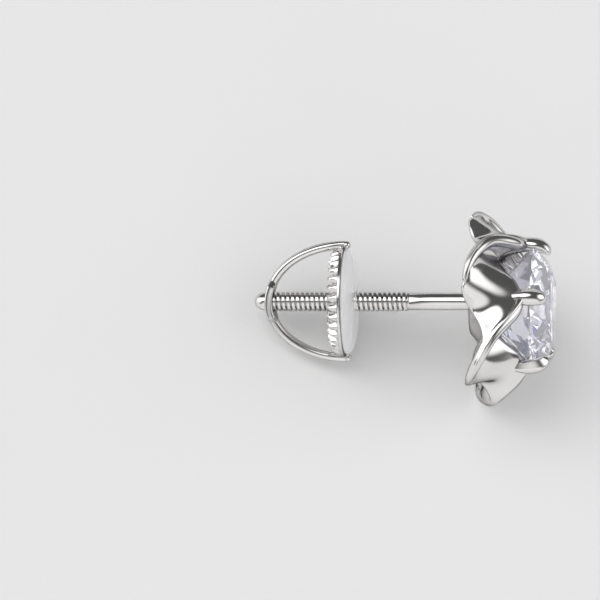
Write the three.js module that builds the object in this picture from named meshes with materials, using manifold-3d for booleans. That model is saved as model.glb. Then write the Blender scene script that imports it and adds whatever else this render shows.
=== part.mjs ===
// Flower stud earring: five swirled petals round a prong-set brilliant, on a threaded post with a screw back.
// Lengths are millimetres and angles are degrees. Every piece is drawn with the post along Z and the
// flower's face towards +Z. The last section lays the earring on its side on the plane z = 0, where it rests
// by itself.
import * as THREE from "three";
import { ConvexGeometry } from "three/addons/geometries/ConvexGeometry.js";
import { mergeVertices } from "three/addons/utils/BufferGeometryUtils.js";
import Module from "manifold-3d";

const wasm = await Module();
wasm.setup();

// Round brilliant stone
const stoneDiameter = 6.5;
const tableShare = 0.58; // table's width as a share of the diameter
const starShare = 0.5; // how far a star facet reaches from the table's edge to the girdle
const lowerHalfShare = 0.77; // how far a lower half facet reaches from the girdle to the culet
const crownAngle = 33.5;
const pavilionAngle = 40.5;
const girdleBand = 0.18; // height of the girdle at its thick points
const girdleHeight = 3.62; // middle of the girdle above the back of the head
const stoneGap = 0.03; // clearance between the stone and the metal that holds it
const mainFacets = 8;
const girdleSides = 32;

// Flower
const petalCount = 5;
const flowerRadius = 5.22;
const petalInnerRadius = 3.2; // inner edge of the petals, round the stone
const junctionHeight = 3.3; // where petals and prongs meet
const petalSheet = 0.42; // thickness of a petal
const petalWall = 0.38; // thickness of the wall that falls back from a petal's raised lip
const petalSteps = 15; // sections along one petal

// Each row is a section across a petal. Turn is the way along it, as a share of the angle between two prongs.
// Out is a share of the petal's reach beyond its inner edge, and up a share of the junction's height.
// The inner edge faces the stone, the dish is the hollow of the petal, the lip is its raised rim and the back
// is the rear edge of the wall behind the lip. Lean turns the sheet's thickness from straight back, 0, to inwards, 1.
const petalSections = [
  {
    turn: -0.06, innerUp: 1.0, dishOut: 0.01, dishUp: 1.0,
    lipOut: 0.03, lipUp: 1.03, backOut: 0.34, backUp: 0.15, lean: 0.0,
  },
  {
    turn: 0.06, innerUp: 0.9, dishOut: 0.03, dishUp: 0.9,
    lipOut: 0.12, lipUp: 1.0, backOut: 0.3, backUp: 0.2, lean: 0.0,
  },
  {
    turn: 0.17, innerUp: 0.77, dishOut: 0.1, dishUp: 0.77,
    lipOut: 0.3, lipUp: 0.91, backOut: 0.36, backUp: 0.3, lean: 0.0,
  },
  {
    turn: 0.28, innerUp: 0.66, dishOut: 0.2, dishUp: 0.62,
    lipOut: 0.52, lipUp: 0.78, backOut: 0.52, backUp: 0.4, lean: 0.0,
  },
  {
    turn: 0.39, innerUp: 0.59, dishOut: 0.32, dishUp: 0.49,
    lipOut: 0.74, lipUp: 0.63, backOut: 0.73, backUp: 0.44, lean: 0.0,
  },
  {
    turn: 0.5, innerUp: 0.6, dishOut: 0.44, dishUp: 0.4,
    lipOut: 0.9, lipUp: 0.49, backOut: 0.9, backUp: 0.37, lean: 0.03,
  },
  {
    turn: 0.61, innerUp: 0.68, dishOut: 0.53, dishUp: 0.38,
    lipOut: 0.98, lipUp: 0.37, backOut: 0.97, backUp: 0.26, lean: 0.12,
  },
  {
    turn: 0.72, innerUp: 0.81, dishOut: 0.58, dishUp: 0.42,
    lipOut: 1.0, lipUp: 0.25, backOut: 0.98, backUp: 0.16, lean: 0.3,
  },
  {
    turn: 0.83, innerUp: 0.91, dishOut: 0.59, dishUp: 0.49,
    lipOut: 0.93, lipUp: 0.17, backOut: 0.9, backUp: 0.11, lean: 0.52,
  },
  {
    turn: 0.94, innerUp: 0.97, dishOut: 0.5, dishUp: 0.55,
    lipOut: 0.77, lipUp: 0.14, backOut: 0.74, backUp: 0.1, lean: 0.72,
  },
  {
    turn: 1.06, innerUp: 0.97, dishOut: 0.3, dishUp: 0.56,
    lipOut: 0.48, lipUp: 0.16, backOut: 0.46, backUp: 0.12, lean: 0.85,
  },
];
const sheetTurns = [0.1, 1.06];
const wallTurns = [-0.06, 0.86];
const collarTurns = [-0.02, 1.02];

// Bowl behind the stone, and the collar that joins it to the petals' inner edges
const collarOut = 0.07; // collar's outer wall beyond the petals' inner edge
const collarIn = 0.22; // and its inner wall inside that edge
const collarFoot = 1.55;
const bowlRimHeight = 1.84;
const bowlWall = 0.3;
const bowlSides = 30;
const backFlat = 1.25; // radius of the flat on the back of the head, round the post
const backThickness = 0.3;
const culetGap = 0.1; // between the stone's point and the bowl's floor

// Prongs. Each row is a ring of the claw: out is measured from the stone's edge, up from the girdle's middle.
const prongRings = [
  { out: 0.02, up: -1.02, radius: 0.08 },
  { out: 0.04, up: -0.7, radius: 0.22 },
  { out: 0.05, up: -0.3, radius: 0.35 },
  { out: 0.02, up: 0.1, radius: 0.38 },
  { out: -0.07, up: 0.42, radius: 0.35 },
  { out: -0.19, up: 0.62, radius: 0.26 },
  { out: -0.28, up: 0.7, radius: 0.12 },
];
const prongSides = 10;

// Post
const postOffset = 0.4; // the post stands this far above the flower's middle, so that the flower hangs upright
const shankRadius = 0.44;
const threadRadius = 0.5;
const threadDepth = 0.14;
const threadPitch = 0.25;
const shankLength = 2.83; // plain length behind the head
const threadLength = 7.6;
const tipLength = 0.42;
const threadSides = 10;
const postSides = 20;
const profileRows = 2; // a root and a crest for each turn of the thread
const finestEdge = 0.006; // finer detail than this is left out

// Screw-on back
const runningGap = 0.03; // radial clearance round the thread
const faceGap = 0.02; // between pieces that lie face to face
const backPlace = -6.1; // front face of the toothed disc as it is shown
const discRadius = 2.88;
const discFlange = 0.14; // plain rim in front of the teeth
const discDepth = 0.62;
const discWeb = 0.3; // thickness inside the toothed ring
const toothCount = 32;
const toothDepth = 0.11;
const toothPoints = 4;
const ringTaper = 0.3; // the ring's rear edge is this much narrower in radius
const ringWidth = 0.55;
const bowDepth = 4.12; // rear of the bow behind the disc's front face
const bowRadius = 3.1;
const bowThickness = 0.38;
const bowWidth = 0.66;
const bowFootWidth = 0.42;
const bowPadLength = 2.1;
const bowPadWidth = 1.5;
const bowBead = 0.21; // radius of the bead on each end of the bow
const beadFlats = 10;
const bowSteps = 26;
const padRadius = 2.72;
const padThickness = 0.56;
const padLand = 1.15; // radius of the soft pad's flat front
const padSides = 48;

const radians = THREE.MathUtils.degToRad;
const stoneRadius = stoneDiameter / 2;
const pitchAngle = 360 / petalCount;
const crownHeight = (1 - tableShare) * stoneRadius * Math.tan(radians(crownAngle));
const pavilionDepth = stoneRadius * Math.tan(radians(pavilionAngle));
const girdleTop = girdleHeight + girdleBand / 2;
const girdleFoot = girdleHeight - girdleBand / 2;
const culetHeight = girdleFoot - pavilionDepth;
const threadEnd = -shankLength - threadLength;
const holeRadius = threadRadius + runningGap;
const flowerCentre = new THREE.Vector3(0, -postOffset, 0);

// A point at an angle about Z, r from the axis and at height z.
function polar(angle, r, z) {
  return new THREE.Vector3(r * Math.cos(radians(angle)), r * Math.sin(radians(angle)), z);
}

// A closed geometry as a solid that can be joined and cut.
function solidOf(geometry) {
  const bare = new THREE.BufferGeometry();
  bare.setAttribute("position", geometry.getAttribute("position"));
  if (geometry.index) bare.setIndex(geometry.index);
  const merged = mergeVertices(bare, 1e-5);
  const solid = new wasm.Manifold(
    new wasm.Mesh({
      numProp: 3,
      vertProperties: new Float32Array(merged.attributes.position.array),
      triVerts: new Uint32Array(merged.index.array),
    }),
  );
  return solid;
}

// A solid as a geometry again, without edges too short to matter.
function geometryOf(solid) {
  const mesh = solid.asOriginal().simplify(finestEdge).getMesh();
  const geometry = new THREE.BufferGeometry();
  geometry.setAttribute("position", new THREE.BufferAttribute(new Float32Array(mesh.vertProperties), 3));
  geometry.setIndex(new THREE.BufferAttribute(new Uint32Array(mesh.triVerts), 1));
  geometry.computeVertexNormals();
  return geometry;
}

function joined(solids) {
  return solids.reduce((whole, next) => whole.add(next));
}

// A closed skin over rings of equally many points, with a flat triangulated cap on each end.
function skinOver(rings) {
  const count = rings[0].length;
  const points = rings.flat();
  const faces = [];
  for (let i = 0; i + 1 < rings.length; i++) {
    for (let j = 0; j < count; j++) {
      const a = i * count + j;
      const b = i * count + ((j + 1) % count);
      faces.push([a, b, b + count], [a, b + count, a + count]);
    }
  }
  const last = (rings.length - 1) * count;
  for (const [a, b, c] of capTriangles(rings[0])) faces.push([c, b, a]);
  for (const [a, b, c] of capTriangles(rings[rings.length - 1])) faces.push([last + a, last + b, last + c]);
  const geometry = new THREE.BufferGeometry().setFromPoints(points);
  geometry.setIndex(faces.flat());
  return facingOut(geometry);
}

// Triangles over a nearly flat ring, wound the way the ring runs.
function capTriangles(ring) {
  const middle = ring.reduce((sum, p) => sum.add(p), new THREE.Vector3()).divideScalar(ring.length);
  const normal = new THREE.Vector3();
  ring.forEach((p, i) => {
    const next = ring[(i + 1) % ring.length];
    normal.add(p.clone().sub(middle).cross(next.clone().sub(middle)));
  });
  normal.normalize();
  const across = ring[0].clone().sub(middle).normalize();
  const along = normal.clone().cross(across);
  const flat = ring.map((p) => {
    const arm = p.clone().sub(middle);
    return new THREE.Vector2(arm.dot(across), arm.dot(along));
  });
  return THREE.ShapeUtils.triangulateShape(flat, []);
}

// The same geometry with every face turned round if it encloses a negative volume.
function facingOut(geometry) {
  const p = geometry.attributes.position;
  const order = geometry.index.array;
  const corner = (i) => new THREE.Vector3().fromBufferAttribute(p, order[i]);
  let volume = 0;
  for (let i = 0; i < order.length; i += 3) volume += corner(i).dot(corner(i + 1).cross(corner(i + 2)));
  if (volume < 0) {
    for (let i = 0; i < order.length; i += 3) [order[i + 1], order[i + 2]] = [order[i + 2], order[i + 1]];
  }
  return geometry;
}

// A body turned about Z from a closed outline of [radius, height] pairs.
function turned(outline, sides) {
  const lathe = new THREE.LatheGeometry(
    [...outline, outline[0]].map(([r, z]) => new THREE.Vector2(r, z)),
    sides,
  );
  lathe.rotateX(Math.PI / 2);
  const bare = new THREE.BufferGeometry();
  bare.setAttribute("position", lathe.getAttribute("position"));
  bare.setIndex(lathe.index);
  const whole = [];
  const merged = mergeVertices(bare, 1e-5);
  const order = merged.index.array;
  for (let i = 0; i < order.length; i += 3) {
    const face = [order[i], order[i + 1], order[i + 2]];
    if (new Set(face).size === 3) whole.push(...face);
  }
  merged.setIndex(whole);
  return facingOut(merged);
}

// The value of a table's column at some way along it, on a smooth curve through the rows.
function alongTable(table, column, turn) {
  const slope = (i) => {
    const before = table[Math.max(i - 1, 0)];
    const after = table[Math.min(i + 1, table.length - 1)];
    return (after[column] - before[column]) / (after.turn - before.turn);
  };
  let i = 0;
  while (i < table.length - 2 && turn > table[i + 1].turn) i++;
  const span = table[i + 1].turn - table[i].turn;
  const t = (turn - table[i].turn) / span;
  return (
    table[i][column] * (1 + 2 * t) * (1 - t) ** 2 +
    slope(i) * span * t * (1 - t) ** 2 +
    table[i + 1][column] * t * t * (3 - 2 * t) +
    slope(i + 1) * span * t * t * (t - 1)
  );
}

// The brilliant: table, 8 kites, 8 stars and 16 upper halves over 16 lower halves and 8 mains.
function brilliant() {
  const points = [];
  const half = 180 / mainFacets;
  const crownSlope = Math.tan(radians(crownAngle));
  const pavilionSlope = Math.tan(radians(pavilionAngle));
  const tableRadius = tableShare * stoneRadius;
  const shrink = Math.cos(radians(half));
  const starRadius = tableRadius * shrink + starShare * (stoneRadius - tableRadius * shrink);
  const starHeight = girdleTop + (stoneRadius - starRadius * shrink) * crownSlope;
  const lowerRadius = (1 - lowerHalfShare) * stoneRadius;
  const lowerHeight = girdleFoot - (stoneRadius - lowerRadius * shrink) * pavilionSlope;
  for (let i = 0; i < mainFacets; i++) {
    points.push(polar(2 * half * i, tableRadius, girdleTop + crownHeight));
    points.push(polar(2 * half * i + half, starRadius, starHeight));
    points.push(polar(2 * half * i + half, lowerRadius, lowerHeight));
  }
  // A half facet dips where the round girdle stands out beyond the chord between its corners.
  const chord = Math.cos(radians(half / 2));
  const sag = (stoneRadius * (1 - chord)) / chord;
  const dip = (height, radius, level) => ((height - level) / (stoneRadius - radius)) * sag;
  const upperDip = dip(starHeight, starRadius, girdleTop);
  const lowerDip = dip(lowerHeight, lowerRadius, girdleFoot);
  for (let i = 0; i < girdleSides; i++) {
    const between = i % 2;
    points.push(polar((360 / girdleSides) * i, stoneRadius, girdleTop - between * upperDip));
    points.push(polar((360 / girdleSides) * i, stoneRadius, girdleFoot - between * lowerDip));
  }
  points.push(new THREE.Vector3(0, 0, culetHeight));
  return new ConvexGeometry(points);
}

// Out and up shares of a petal section as a [radius, height] pair.
function petalPoint(out, up) {
  return [petalInnerRadius + out * (flowerRadius - petalInnerRadius), up * junctionHeight];
}

function petalRow(turn) {
  const at = (column) => alongTable(petalSections, column, turn);
  return {
    inner: petalPoint(0, at("innerUp")),
    dish: petalPoint(at("dishOut"), at("dishUp")),
    lip: petalPoint(at("lipOut"), at("lipUp")),
    back: petalPoint(at("backOut"), at("backUp")),
    lean: at("lean"),
  };
}

// A ribbon of petal: one closed outline of [radius, height] pairs at each of several turns.
function ribbon([from, to], outlineAt) {
  const rings = [];
  for (let i = 0; i <= petalSteps; i++) {
    const turn = from + ((to - from) * i) / petalSteps;
    rings.push(outlineAt(petalRow(turn)).map(([r, z]) => polar(turn * pitchAngle, r, z)));
  }
  return solidOf(skinOver(rings));
}

// The dished sheet from the petal's inner edge to its lip.
function petalSheetOutline({ inner, dish, lip, lean }) {
  const pull = [2 * dish[0] - (inner[0] + lip[0]) / 2, 2 * dish[1] - (inner[1] + lip[1]) / 2];
  const front = [0, 0.25, 0.5, 0.75, 1].map((t) =>
    [0, 1].map((k) => inner[k] * (1 - t) ** 2 + pull[k] * 2 * t * (1 - t) + lip[k] * t * t),
  );
  const turnIn = radians(90 * lean);
  const rear = front.map(([r, z]) => [r - petalSheet * Math.sin(turnIn), z - petalSheet * Math.cos(turnIn)]);
  return [...front, ...rear.reverse()];
}

// The wall that falls back from the lip.
function petalWallOutline({ lip, back }) {
  const middle = [(lip[0] + back[0]) / 2 + petalWall * 0.1, (lip[1] + back[1]) / 2];
  const outer = [lip, middle, back];
  const inner = outer.map(([r, z]) => [r - petalWall, z - petalWall * 0.1]);
  return [...outer, ...inner.reverse()];
}

// The collar under the petal's inner edge.
function collarOutline({ inner }) {
  const [r, z] = inner;
  return [
    [r + collarOut, z - petalSheet * 0.1],
    [r + collarOut, collarFoot],
    [r - collarIn, collarFoot],
    [r - collarIn, z - petalSheet * 0.1],
  ];
}

function petal() {
  return joined([
    ribbon(sheetTurns, petalSheetOutline),
    ribbon(wallTurns, petalWallOutline),
    ribbon(collarTurns, collarOutline),
  ]);
}

// The shallow bowl that closes the head behind the stone.
function bowl() {
  const rim = petalInnerRadius + collarOut;
  const floor = culetHeight - culetGap;
  const rear = floor - backThickness;
  const bend = (backFlat + rim) / 2;
  const rise = (bowlRimHeight - bowlWall - rear) * 0.62;
  return solidOf(
    turned(
      [
        [0, floor],
        [backFlat - bowlWall / 2, floor],
        [bend, rear + rise + bowlWall],
        [rim, bowlRimHeight],
        [rim, bowlRimHeight - bowlWall],
        [bend, rear + rise],
        [backFlat, rear],
        [0, rear],
      ],
      bowlSides,
    ),
  );
}

// A claw that rises outside the girdle and bends in over the crown, on the +X side.
function prong() {
  const rings = prongRings.map(({ out, up, radius }, i) => {
    const before = prongRings[Math.max(i - 1, 0)];
    const after = prongRings[Math.min(i + 1, prongRings.length - 1)];
    const run = new THREE.Vector2(after.out - before.out, after.up - before.up).normalize();
    return Array.from({ length: prongSides }, (_, j) => {
      const angle = radians((360 / prongSides) * j);
      const outward = radius * Math.cos(angle);
      return new THREE.Vector3(
        stoneRadius + out + run.y * outward,
        radius * Math.sin(angle),
        girdleHeight + up - run.x * outward,
      );
    });
  });
  return solidOf(skinOver(rings));
}

// The stone grown by the gap all round, to cut its seat.
function stoneSeat() {
  const grow = 1 + stoneGap / stoneRadius;
  const seat = brilliant();
  seat.translate(0, 0, -girdleHeight);
  seat.scale(grow, grow, grow);
  seat.translate(0, 0, girdleHeight);
  return solidOf(seat);
}

// A right-hand thread with root and crest rows on a helix.
function thread() {
  const rows = Math.round(threadLength / threadPitch) * profileRows;
  const points = [];
  const faces = [];
  const at = (column, row) => {
    const wrapped = column % threadSides;
    return wrapped * (rows + 1) + row + (column === threadSides ? profileRows : 0);
  };
  for (let column = 0; column < threadSides; column++) {
    for (let row = 0; row <= rows; row++) {
      const r = row % profileRows ? threadRadius : threadRadius - threadDepth;
      const z = threadEnd + threadPitch * (row / profileRows + column / threadSides);
      points.push(polar((360 / threadSides) * column, r, z));
    }
  }
  for (let column = 0; column < threadSides; column++) {
    const lastRow = column === threadSides - 1 ? rows - profileRows : rows;
    for (let row = 0; row < lastRow; row++) {
      const [a, b] = [at(column, row), at(column + 1, row)];
      const [c, d] = [at(column + 1, row + 1), at(column, row + 1)];
      faces.push([a, b, c], [a, c, d]);
    }
  }
  const foot = points.push(new THREE.Vector3(0, 0, threadEnd)) - 1;
  const head = points.push(new THREE.Vector3(0, 0, -shankLength)) - 1;
  const footLoop = Array.from({ length: threadSides }, (_, column) => at(column, 0));
  for (let row = profileRows; row > 0; row--) footLoop.push(row);
  const headLoop = Array.from({ length: threadSides }, (_, column) => at(column, rows));
  const lastColumn = (threadSides - 1) * (rows + 1);
  for (let row = rows - 1; row >= rows - profileRows; row--) headLoop.push(lastColumn + row);
  footLoop.forEach((p, i) => faces.push([foot, footLoop[(i + 1) % footLoop.length], p]));
  headLoop.forEach((p, i) => faces.push([head, p, headLoop[(i + 1) % headLoop.length]]));
  const geometry = new THREE.BufferGeometry().setFromPoints(points);
  geometry.setIndex(faces.flat());
  return solidOf(facingOut(geometry));
}

function post() {
  const root = threadRadius - threadDepth;
  const shank = turned(
    [
      [0, culetHeight - culetGap],
      [shankRadius, culetHeight - culetGap],
      [shankRadius, -shankLength],
      [root, -shankLength - threadDepth],
      [0, -shankLength - threadDepth],
    ],
    postSides,
  );
  const tip = turned(
    [
      [0, threadEnd + threadPitch],
      [root, threadEnd + threadPitch],
      [threadRadius * 0.94, threadEnd + threadPitch * 0.5],
      [threadRadius * 0.9, threadEnd],
      [threadRadius * 0.66, threadEnd - tipLength * 0.55],
      [threadRadius * 0.3, threadEnd - tipLength * 0.9],
      [0, threadEnd - tipLength],
    ],
    postSides,
  );
  return joined([solidOf(shank), thread(), solidOf(tip)]);
}

// Petals, prongs and bowl are one casting, and the post is soldered to it.
function flowerSetting() {
  const pieces = [bowl()];
  for (let i = 0; i < petalCount; i++) {
    const turn = 90 + i * pitchAngle;
    pieces.push(petal().rotate([0, 0, turn]), prong().rotate([0, 0, turn]));
  }
  const head = joined(pieces).subtract(stoneSeat()).translate(flowerCentre.toArray());
  return geometryOf(head.add(post()));
}

function centreStone() {
  return brilliant().translate(...flowerCentre.toArray());
}

// A straight hole along the post's line.
function postHole(from, to) {
  return solidOf(turned([[0, from], [holeRadius, from], [holeRadius, to], [0, to]], postSides));
}

// The disc with its plain front flange and its ring of teeth.
function toothedDisc() {
  const front = backPlace;
  const rear = front - discDepth;
  const inner = discRadius - ringWidth;
  const sides = toothCount * toothPoints;
  const ringAt = (radius, z, depth) =>
    Array.from({ length: sides }, (_, i) => {
      const wave = (1 - Math.cos(radians((360 / toothPoints) * i))) / 2;
      return polar((360 / sides) * i, radius - depth * wave, z);
    });
  const toothed = skinOver([
    ringAt(discRadius, front, 0),
    ringAt(discRadius, front - discFlange, 0),
    ringAt(discRadius - toothDepth * 0.3, front - discFlange, toothDepth),
    ringAt(discRadius - ringTaper * 0.5, rear + discDepth * 0.25, toothDepth),
    ringAt(discRadius - ringTaper, rear, toothDepth),
  ]);
  const recess = turned(
    [
      [0, rear - discDepth],
      [inner, rear - discDepth],
      [inner, rear],
      [inner - discFlange * 0.7, front - discWeb],
      [0, front - discWeb],
    ],
    padSides,
  );
  return solidOf(toothed).subtract(solidOf(recess)).subtract(postHole(rear - discDepth, front + discDepth));
}

// The soft clear pad that lies against the ear.
function clearPad() {
  const rear = backPlace + faceGap;
  const hole = holeRadius + faceGap;
  const rise = (share) => rear + padThickness * share;
  return geometryOf(
    solidOf(
      turned(
        [
          [hole, rear],
          [padRadius, rear],
          [padRadius, rise(0.16)],
          [padRadius * 0.96, rise(0.42)],
          [padRadius * 0.87, rise(0.68)],
          [padRadius * 0.7, rise(0.9)],
          [padLand, rise(1)],
          [hole, rise(1)],
        ],
        padSides,
      ),
    ),
  );
}

// The bow: a strap bent in half an ellipse from one side of the disc to the other, widened to a pad where the
// post goes through, with a bead on each end in front of the disc's flange.
function screwBow() {
  const middle = bowThickness / 2;
  const long = bowDepth - middle;
  const short = bowRadius - middle;
  const foot = backPlace;
  const rings = [];
  for (let i = 0; i <= bowSteps; i++) {
    const angle = radians((180 * i) / bowSteps);
    const y = short * Math.cos(angle);
    const z = foot - long * Math.sin(angle);
    const run = new THREE.Vector2(Math.sin(angle) * short, Math.cos(angle) * long).normalize();
    const [ny, nz] = [run.y, -run.x];
    const inPad = THREE.MathUtils.smoothstep(bowPadLength / 2 + bowWidth / 2 - Math.abs(y), 0, bowWidth / 2);
    const nearFoot = THREE.MathUtils.smoothstep(foot - z, 0, bowWidth * 1.5);
    const strap = THREE.MathUtils.lerp(bowFootWidth, bowWidth, nearFoot);
    const width = THREE.MathUtils.lerp(strap, bowPadWidth, inPad);
    const [w, t, soft] = [width / 2, bowThickness / 2, bowThickness * 0.3];
    const outline = [
      [w, t - soft],
      [w - soft, t],
      [soft - w, t],
      [-w, t - soft],
      [-w, soft - t],
      [soft - w, -t],
      [w - soft, -t],
      [w, soft - t],
    ];
    rings.push(outline.map(([across, deep]) => new THREE.Vector3(across, y + ny * deep, z + nz * deep)));
  }
  const strap = solidOf(skinOver(rings));
  const bead = (side) => {
    const ball = new THREE.SphereGeometry(bowBead, beadFlats, beadFlats / 2);
    ball.translate(0, side * short, foot + bowBead * 0.5);
    return solidOf(ball);
  };
  const whole = joined([strap, bead(1), bead(-1)]);
  return whole.subtract(postHole(foot - bowDepth - bowThickness, foot - bowDepth / 2));
}

// The disc and the bow are soldered together.
function screwBack() {
  return geometryOf(toothedDisc().add(screwBow()));
}

// Materials
const whiteMetal = new THREE.MeshStandardMaterial({ color: 0xd9d8d6, metalness: 1, roughness: 0.08 });
const clearStone = new THREE.MeshStandardMaterial({ color: 0xf2f2fb, metalness: 0, roughness: 0.02 });
const softClear = new THREE.MeshStandardMaterial({ color: 0xe6e6ea, metalness: 0, roughness: 0.25 });

function piece(name, geometry, material) {
  const mesh = new THREE.Mesh(geometry, material);
  mesh.name = name;
  return mesh;
}

const earring = new THREE.Group();
earring.add(
  piece("flower_setting", flowerSetting(), whiteMetal),
  piece("centre_stone", centreStone(), clearStone),
  piece("clear_pad", clearPad(), softClear),
  piece("screw_back", screwBack(), whiteMetal),
);

// Resting place: the earring lies on two neighbouring petals and the rim of the disc.
const restingPetals = [2, 3]; // counted from the prong above the post, the way the petals swirl

function cornersOf(name, keep) {
  const p = earring.getObjectByName(name).geometry.attributes.position;
  const corners = Array.from({ length: p.count }, (_, i) => new THREE.Vector3().fromBufferAttribute(p, i));
  return corners.filter(keep);
}

// The plane under the corners that the two petals and the disc reach lowest with.
function floorNormal() {
  const lobeAt = (i) => 90 + (i + 0.72) * pitchAngle;
  const nearLobe = (i) => (corner) => {
    const fromCentre = corner.clone().sub(flowerCentre);
    return corner.z > 0 && fromCentre.angleTo(polar(lobeAt(i), 1, 0)) < radians(pitchAngle / 2);
  };
  const groups = [
    cornersOf("flower_setting", nearLobe(restingPetals[0])),
    cornersOf("flower_setting", nearLobe(restingPetals[1])),
    cornersOf("screw_back", () => true),
  ];
  let down = polar((lobeAt(restingPetals[0]) + lobeAt(restingPetals[1])) / 2, 1, 0);
  for (let round = 0; round < 12; round++) {
    const lowest = (group) => group.reduce((low, p) => (p.dot(down) > low.dot(down) ? p : low));
    const [a, b, c] = groups.map(lowest);
    const normal = b.clone().sub(a).cross(c.clone().sub(a)).normalize();
    down = normal.multiplyScalar(Math.sign(normal.dot(down)));
  }
  return down.negate();
}

// Turns the earring so that the plane is level, with the face towards +X, and sets it down round the origin.
function layDown(group) {
  const up = floorNormal();
  const ahead = new THREE.Vector3(0, 0, 1).projectOnPlane(up).normalize();
  const side = up.clone().cross(ahead);
  const basis = new THREE.Matrix4().makeBasis(ahead, side, up).transpose();
  group.quaternion.setFromRotationMatrix(basis);
  group.updateMatrixWorld(true);
  const box = new THREE.Box3().setFromObject(group, true);
  const middle = box.getCenter(new THREE.Vector3());
  group.position.set(-middle.x, -middle.y, -box.min.z);
}

layDown(earring);

export default earring;
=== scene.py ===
import math

import bmesh
import bpy
import numpy as np
from mathutils import Matrix, Quaternion, Vector


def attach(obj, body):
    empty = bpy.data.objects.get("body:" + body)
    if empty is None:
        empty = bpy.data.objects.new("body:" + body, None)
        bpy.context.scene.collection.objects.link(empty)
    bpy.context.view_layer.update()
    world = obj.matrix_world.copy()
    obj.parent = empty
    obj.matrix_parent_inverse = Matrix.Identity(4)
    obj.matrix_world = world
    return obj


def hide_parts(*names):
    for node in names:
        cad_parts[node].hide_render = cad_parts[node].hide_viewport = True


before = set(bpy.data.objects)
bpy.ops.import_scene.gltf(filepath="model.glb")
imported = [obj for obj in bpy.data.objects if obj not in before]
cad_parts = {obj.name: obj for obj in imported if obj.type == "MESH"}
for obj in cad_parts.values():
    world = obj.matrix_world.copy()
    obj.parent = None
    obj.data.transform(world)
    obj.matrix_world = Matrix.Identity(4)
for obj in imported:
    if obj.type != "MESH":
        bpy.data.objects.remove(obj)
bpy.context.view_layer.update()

# Pieces are drawn in millimetres, the post along Z and the flower's face towards +Z, then laid on the floor.
lying = {
    "turn": Quaternion((0.753603936, 0.196173193, 0.571575299, 0.258648145)),
    "place": Vector((2.651089484, 0.262297567, 4.455117522)),
}
lyingTurn = lying["turn"].to_matrix()
toFloor = Matrix.Scale(0.001, 4) @ Matrix.Translation(lying["place"]) @ lyingTurn.to_4x4()


# Materials

def newMaterial(name):
    material = bpy.data.materials.new(name)
    material.use_nodes = True
    return material, material.node_tree, material.node_tree.nodes["Principled BSDF"]


def grain(tree, scale, detail=3.0):
    place = tree.nodes.new("ShaderNodeTexCoord")
    noise = tree.nodes.new("ShaderNodeTexNoise")
    noise.inputs["Scale"].default_value = scale
    noise.inputs["Detail"].default_value = detail
    tree.links.new(place.outputs["Object"], noise.inputs["Vector"])
    return noise.outputs["Fac"]


noiseRange = (0.3, 0.7)  # nearly all of a noise's values lie here


def spread(tree, share, low, high):
    ranged = tree.nodes.new("ShaderNodeMapRange")
    ranged.inputs["From Min"].default_value = noiseRange[0]
    ranged.inputs["From Max"].default_value = noiseRange[1]
    ranged.inputs["To Min"].default_value = low
    ranged.inputs["To Max"].default_value = high
    tree.links.new(share, ranged.inputs["Value"])
    return ranged.outputs["Result"]


def blendOf(tree, share, first, second):
    ramp = tree.nodes.new("ShaderNodeValToRGB")
    for stop, place, colour in zip(ramp.color_ramp.elements, noiseRange, (first, second)):
        stop.position = place
        stop.color = (*colour, 1)
    tree.links.new(share, ramp.inputs["Fac"])
    return ramp.outputs["Color"]


def raised(tree, shader, share, strength, distance):
    bump = tree.nodes.new("ShaderNodeBump")
    bump.inputs["Strength"].default_value = strength
    bump.inputs["Distance"].default_value = distance
    tree.links.new(share, bump.inputs["Height"])
    tree.links.new(bump.outputs["Normal"], shader.inputs["Normal"])


def textured(tree, shader, look):  # uneven colour, uneven polish and a fine bump
    colour = blendOf(tree, grain(tree, look["tintScale"]), look["dark"], look["light"])
    tree.links.new(colour, shader.inputs["Base Color"])
    rough = spread(tree, grain(tree, look["wearScale"]), look["smooth"], look["rough"])
    tree.links.new(rough, shader.inputs["Roughness"])
    raised(tree, shader, grain(tree, look["bumpScale"], 2.0), look["bump"], look["bumpDepth"])


silverLook = {
    "dark": (0.84, 0.825, 0.815), "light": (0.9, 0.888, 0.88), "edge": 0.3, "smooth": 0.11, "rough": 0.17,
    "tintScale": 700, "wearScale": 1600, "bumpScale": 2600, "bump": 0.05, "bumpDepth": 0.00002,
}


def polishedSilver():
    material, tree, shader = newMaterial("polishedSilver")
    shader.inputs["Metallic"].default_value = 1.0
    shader.inputs["Specular Tint"].default_value = (silverLook["edge"],) * 3 + (1,)
    textured(tree, shader, silverLook)
    return material


stoneLook = {"index": 2.42, "rough": 0.0, "glow": (0.93, 0.92, 1.0), "glowStrength": 0.045}


def clearStone():
    material, tree, shader = newMaterial("brilliantStone")
    shader.inputs["Transmission Weight"].default_value = 1.0
    shader.inputs["IOR"].default_value = stoneLook["index"]
    shader.inputs["Roughness"].default_value = stoneLook["rough"]
    # The base colour is each facet's painted colour flash, a tint that stands in for light split into colours
    # by the cut.
    paintedFlashes = tree.nodes.new("ShaderNodeAttribute")
    paintedFlashes.attribute_name = "paintedFlashTint"
    tree.links.new(paintedFlashes.outputs["Color"], shader.inputs["Base Color"])
    # The glow stands in for light that is thrown about inside.
    shader.inputs["Emission Color"].default_value = (*stoneLook["glow"], 1)
    shader.inputs["Emission Strength"].default_value = stoneLook["glowStrength"]
    return material


padLook = {
    "dark": (0.95, 0.95, 0.97), "light": (1.0, 1.0, 1.0), "smooth": 0.03, "rough": 0.08,
    "index": 1.41, "through": 0.6, "glow": (1.0, 1.0, 1.0), "glowStrength": 0.07,
    "tintScale": 500, "wearScale": 1200, "bumpScale": 900, "bump": 0.05, "bumpDepth": 0.00003,
}


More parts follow.
